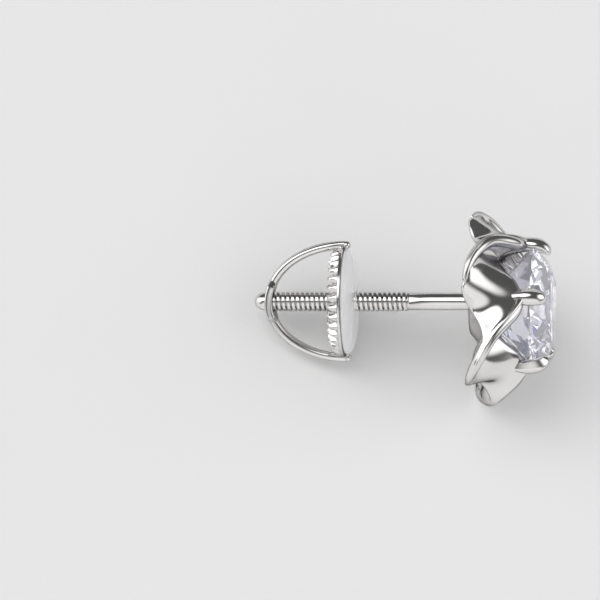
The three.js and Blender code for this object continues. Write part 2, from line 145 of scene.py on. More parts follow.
def softClear():
    material, tree, shader = newMaterial("clearSilicone")
    shader.inputs["Transmission Weight"].default_value = padLook["through"]
    shader.inputs["IOR"].default_value = padLook["index"]
    # The glow stands in for light that spreads inside.
    shader.inputs["Emission Color"].default_value = (*padLook["glow"], 1)
    shader.inputs["Emission Strength"].default_value = padLook["glowStrength"]
    textured(tree, shader, padLook)
    return material


silver = polishedSilver()
stone = clearStone()
silicone = softClear()
print("materials made")


# Mesh helpers

def ringPoint(angle, radius, height):
    return (radius * math.cos(math.radians(angle)), radius * math.sin(math.radians(angle)), height)


def placed(name, data):
    made = bpy.data.objects.new(name, data)
    bpy.context.scene.collection.objects.link(made)
    return made


def meshObject(name, points, faces, material):
    mesh = bpy.data.meshes.new(name)
    mesh.from_pydata([tuple(float(c) for c in p) for p in points], [], faces)
    made = placed(name, mesh)
    mesh.materials.append(material)
    mesh.polygons.foreach_set("use_smooth", [True] * len(mesh.polygons))
    return made


def cleaned(made, gap=1e-4):  # faces with more than four corners are split, and those with no area go
    shape = bmesh.new()
    shape.from_mesh(made.data)
    bmesh.ops.triangulate(shape, faces=[f for f in shape.faces if len(f.verts) > 4])
    bmesh.ops.remove_doubles(shape, verts=shape.verts, dist=gap)
    bmesh.ops.dissolve_degenerate(shape, edges=shape.edges, dist=gap)
    bmesh.ops.recalc_face_normals(shape, faces=shape.faces)
    shape.to_mesh(made.data)
    shape.free()
    return made


def applied(made):
    mesh = bpy.data.meshes.new_from_object(made.evaluated_get(bpy.context.evaluated_depsgraph_get()))
    made.modifiers.clear()
    made.data = mesh
    return made


def tubeOf(name, rings, material, closed=False):  # a skin over rings of points, with flat ends unless closed
    count = len(rings[0])
    points = [p for ring in rings for p in ring]
    faces = []
    for i in range(len(rings) if closed else len(rings) - 1):
        for j in range(count):
            k = (i + 1) % len(rings)
            n = (j + 1) % count
            faces.append((i * count + j, i * count + n, k * count + n, k * count + j))
    if not closed:
        faces.append(tuple(range(count))[::-1])
        faces.append(tuple((len(rings) - 1) * count + j for j in range(count)))
    return cleaned(meshObject(name, points, faces, material))


def turnedOf(name, outline, sides, material):  # outline: a closed loop of (radius, height)
    rings = [[ringPoint(360 * i / sides, r, z) for r, z in outline] for i in range(sides)]
    return cleaned(tubeOf(name, rings, material, closed=True))


def rounded(outline, amount, steps):  # the same closed outline with each corner rounded by up to the amount
    count = len(outline)
    out = []
    for i in range(count):
        here = np.array(outline[i], float)
        before = np.array(outline[i - 1], float) - here
        after = np.array(outline[(i + 1) % count], float) - here
        reach = [np.linalg.norm(before), np.linalg.norm(after)]
        start = here + before / reach[0] * min(amount, reach[0] * 0.45)
        end = here + after / reach[1] * min(amount, reach[1] * 0.45)
        for k in range(steps + 1):
            t = k / steps
            out.append(tuple(start * (1 - t) ** 2 + here * 2 * t * (1 - t) + end * t * t))
    return out


def curveThrough(rows, spacing):  # a smooth curve through evenly spaced rows
    points = np.array(rows, float)
    count = len(points)
    system = np.eye(count)
    pull = np.zeros(points.shape)
    for i in range(1, count - 1):
        system[i, i - 1:i + 2] = (1, 4, 1)
        pull[i] = 6 * (points[i + 1] - 2 * points[i] + points[i - 1])
    bend = np.linalg.solve(system, pull)

    def at(place):
        place = min(max(place / spacing, 0), count - 1 - 1e-9)
        i = int(place)
        t = place - i
        return (
            points[i] * (1 - t) + points[i + 1] * t
            + ((1 - t) ** 3 - (1 - t)) * bend[i] / 6 + (t ** 3 - t) * bend[i + 1] / 6
        )

    return at


def sharpened(made, angle):
    made.data.set_sharp_from_angle(angle=math.radians(angle))
    return made


def cutBy(made, cutter):
    cut = made.modifiers.new("cut", "BOOLEAN")
    cut.operation = "DIFFERENCE"
    cut.solver = "EXACT"
    cut.object = cutter
    applied(made)
    bpy.data.objects.remove(cutter, do_unlink=True)
    return cleaned(made, 1e-3)


def joinedAs(name, parts):
    shape = bmesh.new()
    for part in parts:
        shape.from_mesh(part.data)
    mesh = bpy.data.meshes.new(name)
    shape.to_mesh(mesh)
    shape.free()
    for material in parts[0].data.materials:
        mesh.materials.append(material)
    made = placed(name, mesh)
    for part in parts:
        bpy.data.objects.remove(part, do_unlink=True)
    return made


# Geometry node helpers

def treeWith(name, sizes):
    tree = bpy.data.node_groups.new(name, "GeometryNodeTree")
    tree.interface.new_socket("Geometry", in_out="INPUT", socket_type="NodeSocketGeometry")
    for size in sizes:
        tree.interface.new_socket(size, in_out="INPUT", socket_type="NodeSocketFloat")
    tree.interface.new_socket("Geometry", in_out="OUTPUT", socket_type="NodeSocketGeometry")
    return tree, tree.nodes.new("NodeGroupInput").outputs


def maths(tree, operation, *values):
    node = tree.nodes.new("ShaderNodeMath")
    node.operation = operation
    for socket, value in zip(node.inputs, values):
        if isinstance(value, (int, float)):
            socket.default_value = value
        else:
            tree.links.new(value, socket)
    return node.outputs[0]


def smoothStep(tree, value, low, high):
    ranged = tree.nodes.new("ShaderNodeMapRange")
    ranged.interpolation_type = "SMOOTHSTEP"
    for socket, amount in zip(("Value", "From Min", "From Max"), (value, low, high)):
        if isinstance(amount, (int, float)):
            ranged.inputs[socket].default_value = amount
        else:
            tree.links.new(amount, ranged.inputs[socket])
    return ranged.outputs["Result"]


def aroundAndAlong(tree):  # the position, the angle round Z in turns and the distance from Z
    place = tree.nodes.new("GeometryNodeInputPosition")
    parts = tree.nodes.new("ShaderNodeSeparateXYZ")
    tree.links.new(place.outputs[0], parts.inputs[0])
    x, y, z = parts.outputs
    angle = maths(tree, "DIVIDE", maths(tree, "ARCTAN2", y, x), 2 * math.pi)
    square = maths(tree, "ADD", maths(tree, "MULTIPLY", x, x), maths(tree, "MULTIPLY", y, y))
    return x, y, z, angle, maths(tree, "SQRT", square)


def setRadius(tree, geometry, x, y, z, distance, wanted):
    share = maths(tree, "DIVIDE", wanted, maths(tree, "MAXIMUM", distance, 1e-6))
    place = tree.nodes.new("ShaderNodeCombineXYZ")
    tree.links.new(maths(tree, "MULTIPLY", x, share), place.inputs[0])
    tree.links.new(maths(tree, "MULTIPLY", y, share), place.inputs[1])
    tree.links.new(z, place.inputs[2])
    moved = tree.nodes.new("GeometryNodeSetPosition")
    tree.links.new(geometry, moved.inputs["Geometry"])
    tree.links.new(place.outputs[0], moved.inputs["Position"])
    return moved.outputs["Geometry"]


def finishTree(tree, geometry, material):
    real = tree.nodes.new("GeometryNodeRealizeInstances")
    dressed = tree.nodes.new("GeometryNodeSetMaterial")
    dressed.inputs["Material"].default_value = material
    out = tree.nodes.new("NodeGroupOutput")
    tree.links.new(geometry, real.inputs[0])
    tree.links.new(real.outputs[0], dressed.inputs["Geometry"])
    tree.links.new(dressed.outputs[0], out.inputs[0])


def grown(made, tree, sizes):  # runs the tree on the piece and keeps the result as a plain mesh
    nodes = made.modifiers.new("grown", "NODES")
    nodes.node_group = tree
    for item in tree.interface.items_tree:
        if item.in_out == "INPUT" and item.name in sizes:
            nodes[item.identifier] = float(sizes[item.name])
    applied(made)
    made.data.polygons.foreach_set("use_smooth", [True] * len(made.data.polygons))
    return made


# Flower: five petals, each a ribbon that starts as a dish inside its raised lip and runs on as the wall
# behind the next petal's lip. Tables hold (radius, height) at every ninth of a petal.

flower = {
    "centre": (0.0, -0.4, 0.0),
    "petals": 5,
    "sheet": 0.32,
    "length": 17 / 9,  # in petals
    "thinning": 0.35,  # share of the sheet's thickness that is lost from thinFrom on, over thinOver petals
    "thinFrom": 1.2,
    "thinOver": 0.7,
    "rows": 96,
    "columns": 15,
    "rimRadius": (0.26, 0.31, 0.34, 0.34, 0.32, 0.3, 0.26, 0.22, 0.17),
    "rimIn": 0.96,  # how far in and down the roll stands, as shares of its radius
    "rimDown": 0.35,
    "rimEnd": 0.92,  # where the roll ends, in petals
    "rimRows": 64,
    "rimSides": 16,
    "hidden": 0.22,  # how far the sheets' edges end inside the roll
    "mostHidden": 0.35,  # and at most this share of the way to the sheet's middle
    "topHides": (1, 1.12),  # where along the ribbon the top edge goes in, and the bottom edge comes out
    "bottomShows": (0.84, 0.96),
    "innerEdge": [
        (3.2, 3.22), (3.2, 2.8), (3.2, 2.36), (3.2, 2.04), (3.2, 1.94), (3.2, 2.12), (3.2, 2.5), (3.2, 2.86),
        (3.2, 3.1),
    ],
    "dish": [
        (3.24, 3.22), (3.42, 2.96), (3.6, 2.52), (3.82, 2.0), (4.02, 1.54), (4.15, 1.28), (4.2, 1.32),
        (4.15, 1.5), (4.08, 1.72),
    ],
    "lip": [
        (3.27, 3.32), (3.6, 3.2), (4.0, 2.85), (4.42, 2.3), (4.8, 1.78), (5.03, 1.38), (5.12, 1.0),
        (5.04, 0.7), (4.8, 0.53),
    ],
    "wall": [
        (3.98, 1.9), (3.95, 1.95), (4.1, 1.95), (4.47, 1.88), (4.87, 1.6), (5.09, 1.24), (5.16, 0.88),
        (5.06, 0.58), (4.82, 0.42),
    ],
    "backEdge": [
        (4.42, 0.5), (3.9, 0.68), (3.92, 1.0), (4.34, 1.34), (4.77, 1.38), (4.98, 1.08), (5.05, 0.74),
        (4.96, 0.46), (4.7, 0.34),
    ],
}
petalAngle = 360 / flower["petals"]
edgeAt = curveThrough(flower["innerEdge"] + flower["lip"] + flower["backEdge"], 1 / 9)
middleAt = curveThrough(flower["dish"] + flower["wall"], 1 / 9)
rimRadiusAt = curveThrough([(r,) for r in flower["rimRadius"]], 1 / 9)


def petalAround(place):
    return 90 + petalAngle * place


def smoothShare(value, low, high):
    t = min(max((value - low) / (high - low), 0), 1)
    return t * t * (3 - 2 * t)


def drawnIn(edge, towards, amount):  # the sheet's edge, moved in so that it ends inside the roll
    gap = towards - edge
    return edge + gap * min(flower["mostHidden"], amount / max(np.linalg.norm(gap), 1e-6))


def petalSection(along):  # closed outline of the ribbon's section, with round edges
    top, middle, bottom = edgeAt(along), middleAt(along), edgeAt(along + 1)
    top = drawnIn(top, middle, flower["hidden"] * smoothShare(along, *flower["topHides"]))
    bottom = drawnIn(bottom, middle, flower["hidden"] * (1 - smoothShare(along, *flower["bottomShows"])))
    pull = 2 * middle - (top + bottom) / 2
    lost = flower["thinning"] * max(along - flower["thinFrom"], 0) / flower["thinOver"]
    thick = flower["sheet"] * (1 - lost)
    front, rear, caps = [], [], []
    for i in range(flower["columns"]):
        t = i / (flower["columns"] - 1)
        here = top * (1 - t) ** 2 + pull * 2 * t * (1 - t) + bottom * t * t
        run = (pull - top) * (1 - t) + (bottom - pull) * t
        run = run / np.linalg.norm(run)
        out = np.array((-run[1], run[0]))
        front.append(here)
        rear.append(here - out * thick)
        if i in (0, flower["columns"] - 1):
            side = run if i else -run
            bead = [here - out * thick / 2 + (out * math.cos(a) + side * math.sin(a)) * thick / 2
                    for a in (math.pi / 4, math.pi / 2, 3 * math.pi / 4)]
            caps.append(bead)
    return front + caps[1] + rear[::-1] + caps[0][::-1]


def petalRibbon(start):
    rings = []
    for row in range(flower["rows"] + 1):
        along = flower["length"] * row / flower["rows"]
        rings.append([ringPoint(petalAround(start + along), r, z) for r, z in petalSection(along)])
    return tubeOf("petal", rings, silver)


def petalRim(start):  # the round rim along a petal's lip
    rings = []
    end, step = flower["rimEnd"], 0.01
    for row in range(flower["rimRows"] + 1):
        share = end * row / flower["rimRows"]
        r, z = edgeAt(1 + share)
        ahead, behind = edgeAt(1 + min(share + step, 0.999)), edgeAt(1 + max(share - step, 0))
        begin, stop = min(1, 0.25 + 4 * share), min(1, 0.3 + 5 * (end - share))  # both ends taper off
        radius = float(rimRadiusAt(share)[0]) * begin * stop
        angle = petalAround(start + share)
        centre = Vector(ringPoint(angle, r - flower["rimIn"] * radius, z - flower["rimDown"] * radius))
        run = Vector(ringPoint(petalAround(start + share + step), *ahead)) - Vector(
            ringPoint(petalAround(start + share - step), *behind))
        run.normalize()
        outward = Vector(ringPoint(angle, 1, 0))
        outward = (outward - run * outward.dot(run)).normalized()
        over = run.cross(outward)
        rings.append([
            centre + (outward * math.cos(a) + over * math.sin(a)) * radius
            for a in (2 * math.pi * k / flower["rimSides"] for k in range(flower["rimSides"]))
        ])
    return tubeOf("rim", rings, silver)


collarSizes = {
    "radius": 3.22, "innerRadius": 2.98, "foot": 1.5, "below": 0.16, "highest": 3.06, "round": 0.08,
    "stepFrom": 0.9, "stepOver": 0.1, "steps": 220,
}


def collar():  # the wall under the petals' inner edges
    outer, inner, foot = collarSizes["radius"], collarSizes["innerRadius"], collarSizes["foot"]
    rings = []
    for i in range(collarSizes["steps"]):
        place = i / collarSizes["steps"] * flower["petals"]
        share = place % 1
        low = edgeAt(share)[1]
        if share > collarSizes["stepFrom"]:  # rises to the start of the next petal
            rise = flower["innerEdge"][0][1] - low
            low = low + rise * (share - collarSizes["stepFrom"]) / collarSizes["stepOver"]
        top = min(low - collarSizes["below"], collarSizes["highest"])
        outline = rounded([(outer, foot), (outer, top), (inner, top), (inner, foot)], collarSizes["round"], 3)
        rings.append([ringPoint(petalAround(place), r, z) for r, z in outline])
    return tubeOf("collar", rings, silver, closed=True)


bowlSizes = {
    "outerRadius": 3.27, "rimHeight": 1.84, "wall": 0.3, "flat": 1.25, "floor": 0.654, "back": 0.354,
    "bulge": 0.62, "sides": 96,
}


def bowl():
    outer, wall, flat = bowlSizes["outerRadius"], bowlSizes["wall"], bowlSizes["flat"]
    rim, behind = bowlSizes["rimHeight"], bowlSizes["back"]
    bend = (flat + outer) / 2
    rise = (rim - wall - behind) * bowlSizes["bulge"]
    floorHeight = bowlSizes["floor"]
    back = curveThrough([(flat, behind), (bend, behind + rise), (outer, rim - wall)], 0.5)
    face = curveThrough([(outer, rim), (bend, behind + rise + wall), (flat - wall / 2, floorHeight)], 0.5)
    outline = [(0, behind), (flat - 0.06, behind)]
    outline += [tuple(back(i / 12)) for i in range(13)] + [tuple(face(i / 12)) for i in range(13)]
    outline += [(0, floorHeight)]
    return turnedOf("bowl", outline, bowlSizes["sides"], silver)


clawSizes = {
    "seatRadius": 3.25,
    "girdle": 3.62,
    "steps": 36,
    "sides": 28,
    "rings": [  # out from the stone's edge, up from the girdle, half width across, half depth
        (0.1, -1.2, 0.05, 0.05), (0.12, -0.84, 0.25, 0.2), (0.1, -0.38, 0.4, 0.33), (0.05, 0.1, 0.45, 0.37),
        (-0.06, 0.45, 0.4, 0.35), (-0.24, 0.63, 0.34, 0.29), (-0.4, 0.62, 0.24, 0.2),
    ],
    "filed": (0.55, 0.835),  # which way the filed flat faces: out and across
    "filedAt": 0.84,  # how far out it lies, where 1 leaves nothing filed
    "gap": 0.02,  # between the claw's seat and the stone
}


def claw():
    shape = curveThrough(clawSizes["rings"], 1 / (len(clawSizes["rings"]) - 1))
    filedOut, filedAcross = clawSizes["filed"]
    rings = []
    for i in range(clawSizes["steps"] + 1):
        share = i / clawSizes["steps"]
        out, up, across, deep = shape(share)
        ahead, behind = shape(min(share + 0.01, 1)), shape(max(share - 0.01, 0))
        run = np.array((ahead[0] - behind[0], ahead[1] - behind[1]))
        run = run / np.linalg.norm(run)
        ring = []
        for k in range(clawSizes["sides"]):
            angle = 2 * math.pi * k / clawSizes["sides"]
            c, s = math.cos(angle), math.sin(angle)
            over = max(filedOut * c - filedAcross * s - clawSizes["filedAt"], 0)
            c, s = c - filedOut * over, s + filedAcross * over
            ring.append((clawSizes["seatRadius"] + out + run[1] * deep * c, across * s,
                         clawSizes["girdle"] + up - run[0] * deep * c))
        rings.append(ring)
    return tubeOf("claw", rings, silver)


# Stone

cut = {
    "diameter": 6.5, "tableShare": 0.58, "starShare": 0.5, "lowerHalfShare": 0.77, "crownAngle": 33.5,
    "pavilionAngle": 40.5, "girdleBand": 0.18, "girdleHeight": 3.62, "mains": 8, "girdleSides": 64,
    "sameFacet": 0.6,  # triangles that meet within this angle are one facet
}
stoneRadius = cut["diameter"] / 2
half = 180 / cut["mains"]  # half the angle between two mains
crownSlope = math.tan(math.radians(cut["crownAngle"]))
pavilionSlope = math.tan(math.radians(cut["pavilionAngle"]))
girdleTop = cut["girdleHeight"] + cut["girdleBand"] / 2
girdleFoot = cut["girdleHeight"] - cut["girdleBand"] / 2
culetHeight = girdleFoot - stoneRadius * pavilionSlope


def brilliantPoints(grow=0.0):
    tableRadius = cut["tableShare"] * stoneRadius
    tableHeight = girdleTop + (1 - cut["tableShare"]) * stoneRadius * crownSlope
    shrink = math.cos(math.radians(half))
    starRadius = tableRadius * shrink + cut["starShare"] * (stoneRadius - tableRadius * shrink)
    lowerRadius = stoneRadius * (1 - cut["lowerHalfShare"])
    starHeight = girdleTop + (stoneRadius - starRadius * shrink) * crownSlope
    lowerHeight = girdleFoot - (stoneRadius - lowerRadius * shrink) * pavilionSlope
    points = [(0, 0, culetHeight)]
    for i in range(cut["mains"]):
        points.append(ringPoint(2 * half * i, tableRadius, tableHeight))
        points.append(ringPoint(2 * half * i + half, starRadius, starHeight))
        points.append(ringPoint(2 * half * i + half, lowerRadius, lowerHeight))
    # The girdle is scalloped: each facet plane is carried out to the round edge.
    facets = 2 * cut["mains"]
    inward = math.cos(math.radians(180 / facets))
    crownRise = (starHeight - girdleTop) / (stoneRadius * inward - starRadius * inward)
    pavilionFall = (girdleFoot - lowerHeight) / (stoneRadius * inward - lowerRadius * inward)
    for i in range(cut["girdleSides"]):
        angle = 360 / cut["girdleSides"] * i
        inFacet = (angle % (360 / facets)) - 180 / facets
        dip = stoneRadius * (math.cos(math.radians(inFacet)) - inward)
        points.append(ringPoint(angle, stoneRadius, girdleTop - dip * crownRise))
        points.append(ringPoint(angle, stoneRadius, girdleFoot + dip * pavilionFall))
    if grow:
        middle = Vector((0, 0, cut["girdleHeight"]))
        points = [middle + (Vector(p) - middle) * (1 + grow / stoneRadius) for p in points]
    return points


def brilliant(name, material, grow=0.0):
    shape = bmesh.new()
    for p in brilliantPoints(grow):
        shape.verts.new(p)
    hull = bmesh.ops.convex_hull(shape, input=shape.verts)
    inside = hull["geom_interior"] + hull["geom_unused"]
    loose = list({part for part in inside if isinstance(part, bmesh.types.BMVert)})
    bmesh.ops.delete(shape, geom=loose, context="VERTS")
    flat = math.radians(cut["sameFacet"])
    bmesh.ops.dissolve_limit(shape, angle_limit=flat, verts=shape.verts, edges=shape.edges)
    bmesh.ops.recalc_face_normals(shape, faces=shape.faces)
    mesh = bpy.data.meshes.new(name)
    shape.to_mesh(mesh)
    shape.free()
    mesh.materials.append(material)
    return placed(name, mesh)


# Painted colour flashes: the facets' faint tints stand in for light split into colours by the cut.
paintedFlashTints = {
    "plain": (1.0, 1.0, 1.0), "lilac": (0.93, 0.92, 1.0), "ice": (0.9, 0.96, 1.0), "blue": (0.74, 0.82, 1.0),
    "upTo": (0.5, 0.74, 0.9, 1.0), "seed": 7,  # shares of the facets, added up in the order above
}


def withPaintedFlashes(made):  # each facet has its own faint tint, a painted colour flash that stands in for light split into colours by the cut
    pick = np.random.default_rng(paintedFlashTints["seed"])
    colours = made.data.color_attributes.new("paintedFlashTint", "FLOAT_COLOR", "CORNER")
    kinds = ("plain", "lilac", "ice", "blue")
    for polygon in made.data.polygons:
        chance = pick.random()
        kind = next(k for k, limit in zip(kinds, paintedFlashTints["upTo"]) if chance <= limit)
        for corner in polygon.loop_indices:
            colours.data[corner].color = (*paintedFlashTints[kind], 1)
    return made


# Post

postSizes = {
    "shank": 0.44, "shankMiddle": -1.4, "shankEnd": -2.83, "fillet": 0.14,
    "threadEnd": -10.2, "threadSides": 44, "rowsPerPitch": 18,
    "tipEnd": -10.76, "tipRadius": 0.46, "tipPower": 0.9,
}
threadSizes = {
    "Radius": 0.5, "Depth": 0.19, "Pitch": 0.25, "Plain Radius": 0.44, "Start": -2.78, "Run Out": 0.2,
}


def shank():
    r, fillet, head, end = postSizes["shank"], postSizes["fillet"], bowlSizes["back"], postSizes["shankEnd"]
    outline = [(0, bowlSizes["floor"]), (r, bowlSizes["floor"]), (r, head), (r + fillet, head)]
    outline += [(r + fillet * (1 - math.sin(a)), head - fillet * (1 - math.cos(a)))
                for a in (math.radians(15 * k) for k in range(1, 7))]
    outline += [(r, postSizes["shankMiddle"]), (r, end + 0.06), (r - 0.05, end), (0, end)]
    return sharpened(turnedOf("shank", outline, 64, silver), 40)


def threadTree():
    tree, given = treeWith("postThread", threadSizes)
    x, y, z, angle, distance = aroundAndAlong(tree)
    phase = maths(tree, "SUBTRACT", maths(tree, "DIVIDE", z, given["Pitch"]), angle)
    wave = maths(tree, "MULTIPLY", maths(tree, "PINGPONG", phase, 0.5), 2.0)
    ridge = smoothStep(tree, wave, 0.0, 0.5)
    root = maths(tree, "MULTIPLY", maths(tree, "SUBTRACT", 1.0, ridge), given["Depth"])
    threaded = maths(tree, "SUBTRACT", given["Radius"], root)
    begin = maths(tree, "SUBTRACT", given["Start"], given["Run Out"])
    inThread = maths(tree, "SUBTRACT", 1.0, smoothStep(tree, z, begin, given["Start"]))
    wanted = maths(tree, "ADD", maths(tree, "MULTIPLY", threaded, inThread),
                   maths(tree, "MULTIPLY", given["Plain Radius"], maths(tree, "SUBTRACT", 1.0, inThread)))
    # The rings inside the end caps keep their own radius.
    outer = maths(tree, "GREATER_THAN", distance, maths(tree, "MULTIPLY", given["Radius"], 0.95))
    kept = maths(tree, "ADD", maths(tree, "MULTIPLY", wanted, outer),
                 maths(tree, "MULTIPLY", distance, maths(tree, "SUBTRACT", 1.0, outer)))
    finishTree(tree, setRadius(tree, given["Geometry"], x, y, z, distance, kept), silver)
    return tree


def thread():
    top, foot = postSizes["shankEnd"] + 0.05, postSizes["threadEnd"]
    radius, sides = threadSizes["Radius"], postSizes["threadSides"]
    rows = int((top - foot) / threadSizes["Pitch"] * postSizes["rowsPerPitch"])
    rings = [
        [ringPoint(360 * k / sides, radius, foot + (top - foot) * i / rows) for k in range(sides)]
        for i in range(rows + 1)
    ]
    return grown(tubeOf("thread", rings, silver), threadTree(), threadSizes)


def tip():
    top, foot, r = postSizes["threadEnd"], postSizes["tipEnd"], postSizes["tipRadius"]
    outline = [(0, top + 0.2), (r - 0.09, top + 0.2), (r - 0.02, top + 0.05), (r, top)]
    outline += [(r * math.cos(a) ** postSizes["tipPower"], top + (foot - top) * math.sin(a))
                for a in (math.radians(9 * k) for k in range(1, 10))]
    outline += [(0, foot)]
    return turnedOf("tip", outline, 48, silver)


# Clear pad

padSizes = {
    "front": -5.52, "back": -6.08, "radius": 2.72, "land": 1.15, "hole": 0.55, "sides": 128,
    "dome": ((1.0, 0.16), (0.975, 0.4), (0.9, 0.66), (0.72, 0.9)),  # shares of the radius and of the depth
}


def clearPad():
    front, back, radius = padSizes["front"], padSizes["back"], padSizes["radius"]
    depth = front - back
    rows = [(radius * out, back + depth * up) for out, up in padSizes["dome"]]
    dome = curveThrough(rows + [(padSizes["land"], front)], 1 / len(rows))
    outline = [(padSizes["hole"], back), (radius - 0.05, back), (radius, back + 0.05)]
    outline += [tuple(dome(i / 20)) for i in range(21)]
    outline += [(padSizes["hole"] + 0.06, front), (padSizes["hole"], front - 0.06)]
    return sharpened(turnedOf("clearPad", outline, padSizes["sides"], silicone), 60)


# Screw back: toothed disc and bow

discSizes = {
    "front": -6.1, "radius": 2.88, "flange": 0.14, "depth": 0.7, "taper": 0.22, "round": 1.6,
    "ringWidth": 0.78, "web": 0.3, "hole": 0.53, "roundFrom": 0.75, "toothStart": 0.3, "columnsPerTooth": 12,
}
toothSizes = {"Teeth": 32.0, "Depth": 0.33}


def toothTree():
    tree, given = treeWith("discTeeth", toothSizes)
    x, y, z, angle, distance = aroundAndAlong(tree)
    share = tree.nodes.new("GeometryNodeInputNamedAttribute")
    share.data_type = "FLOAT"
    share.inputs["Name"].default_value = "toothShare"
    turns = maths(tree, "MULTIPLY", maths(tree, "MULTIPLY", angle, given["Teeth"]), 2 * math.pi)
    # Each tooth is round and the gaps between them are sharp.
    lobe = maths(tree, "ABSOLUTE", maths(tree, "COSINE", maths(tree, "MULTIPLY", turns, 0.5)))
    gap = maths(tree, "SUBTRACT", 1.0, lobe)
    notch = maths(tree, "MULTIPLY", maths(tree, "MULTIPLY", gap, given["Depth"]), share.outputs["Attribute"])
    wanted = maths(tree, "SUBTRACT", distance, notch)
    finishTree(tree, setRadius(tree, given["Geometry"], x, y, z, distance, wanted), silver)
    return tree


def toothedDisc():
    front, radius = discSizes["front"], discSizes["radius"]
    rear = front - discSizes["depth"]
    inner = radius - discSizes["ringWidth"]
    step = front - discSizes["flange"]
    web = front - discSizes["web"]
    hole = discSizes["hole"]
    outline = [(hole, front), (radius - 0.04, front), (radius, front - 0.04), (radius, step + 0.02),
               (radius - 0.03, step)]
    shares = [0.0] * 5
    for i in range(13):  # the tapered ring that carries the teeth
        t = i / 12
        fall = discSizes["taper"] * t + discSizes["round"] * max(t - discSizes["roundFrom"], 0) ** 2
        outline.append((radius - 0.05 - fall, step - 0.01 + (rear - step + 0.05) * t))
        shares.append(min(1, discSizes["toothStart"] + t))
    outline += [(outline[-1][0] - 0.05, rear), (inner + 0.04, rear), (inner, rear + 0.04),
                (inner - 0.05, web + 0.06), (inner - 0.12, web), (hole, web)]
    shares += [0.8, 0.0, 0.0, 0.0, 0.0, 0.0]
    columns = int(toothSizes["Teeth"]) * discSizes["columnsPerTooth"]
    points, faces, weights = [], [], []
    count = len(outline)
    for i in range(columns):
        points += [ringPoint(360 * i / columns, r, z) for r, z in outline]
        weights += shares
        for j in range(count):
            k, n = (i + 1) % columns, (j + 1) % count
            faces.append((i * count + j, k * count + j, k * count + n, i * count + n))
    made = meshObject("toothedDisc", points, faces, silver)
    marks = made.data.attributes.new("toothShare", "FLOAT", "POINT")
    marks.data.foreach_set("value", weights)
    cleaned(grown(made, toothTree(), toothSizes))
    return sharpened(made, 30)


bowSizes = {
    "foot": -6.1, "depth": 4.13, "radius": 3.12, "thickness": 0.43, "width": 0.66, "footWidth": 0.44,
    "padLength": 1.85, "padWidth": 1.5, "padBlend": 0.24, "footBlend": 1.5,
    "strapRoundness": 0.75, "padRoundness": 0.35,
    "bead": 0.21, "hole": 0.53, "holeFrom": -11.5, "holeTo": -8.5, "steps": 110, "sides": 28,
}


def bow():
    thick = bowSizes["thickness"]
    long, short = bowSizes["depth"] - thick / 2, bowSizes["radius"] - thick / 2
    strapFull, padFull = bowSizes["strapRoundness"], bowSizes["padRoundness"]
    blend = bowSizes["padBlend"]
    rings = []
    for i in range(bowSizes["steps"] + 1):
        angle = math.pi * i / bowSizes["steps"]
        y, z = short * math.cos(angle), bowSizes["foot"] - long * math.sin(angle)
        run = Vector((math.sin(angle) * short, math.cos(angle) * long)).normalized()
        ny, nz = run.y, -run.x
        inPad = smoothShare(bowSizes["padLength"] / 2 + blend / 2 - abs(y), 0, blend)
        nearFoot = smoothShare(bowSizes["foot"] - z, 0, bowSizes["width"] * bowSizes["footBlend"])
        strap = bowSizes["footWidth"] + (bowSizes["width"] - bowSizes["footWidth"]) * nearFoot
        width = (strap + (bowSizes["padWidth"] - strap) * inPad) / 2
        full = strapFull - (strapFull - padFull) * inPad  # 1 is an ellipse, and less is nearer to a rectangle
        outline = []
        for k in range(bowSizes["sides"]):
            a = 2 * math.pi * k / bowSizes["sides"]
            c, s = math.cos(a), math.sin(a)
            outline.append((width * math.copysign(abs(c) ** full, c),
                            thick / 2 * math.copysign(abs(s) ** full, s)))
        rings.append([(a, y + ny * d, z + nz * d) for a, d in outline])
    low, high, r = bowSizes["holeFrom"], bowSizes["holeTo"], bowSizes["hole"]
    hole = turnedOf("hole", [(0, low), (r, low), (r, high), (0, high)], 48, silver)
    return sharpened(cutBy(tubeOf("bow", rings, silver), hole), 40)


def bead(side):
    short = bowSizes["radius"] - bowSizes["thickness"] / 2
    outline = [(bowSizes["bead"] * math.sin(a), bowSizes["bead"] * math.cos(a))
               for a in (math.pi * k / 16 for k in range(17))]
    made = turnedOf("bead", outline, 32, silver)
    made.data.transform(Matrix.Translation((0, side * short, bowSizes["foot"] + bowSizes["bead"] * 0.5)))
    return made


# Every piece, laid on the floor

def laid(made, body, node):
    made.data.transform(toFloor)
    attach(made, body)
    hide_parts(node)


head = []
for i in range(flower["petals"]):
    head += [petalRibbon(i), petalRim(i)]
print("petals made")
claws = []
for i in range(flower["petals"]):
    one = claw()
    one.data.transform(Matrix.Rotation(math.radians(petalAround(i)), 4, "Z"))
    claws.append(sharpened(cutBy(one, brilliant("seat", silver, clawSizes["gap"])), 40))
head += claws + [collar(), bowl()]
for part in head:
    part.data.transform(Matrix.Translation(flower["centre"]))
setting = joinedAs("flowerSetting", head + [shank(), thread(), tip()])
laid(setting, "stud", "flower_setting")
print("setting and post made")

gem = withPaintedFlashes(brilliant("brilliantCut", stone))
gem.data.transform(Matrix.Translation(flower["centre"]))
laid(gem, "stud", "centre_stone")
print("stone made")

laid(clearPad(), "pad", "clear_pad")
screwBack = joinedAs("screwBack", [toothedDisc(), bow(), bead(1), bead(-1)])
laid(screwBack, "back", "screw_back")
print("pad and screw back made")


# Floor, light and camera

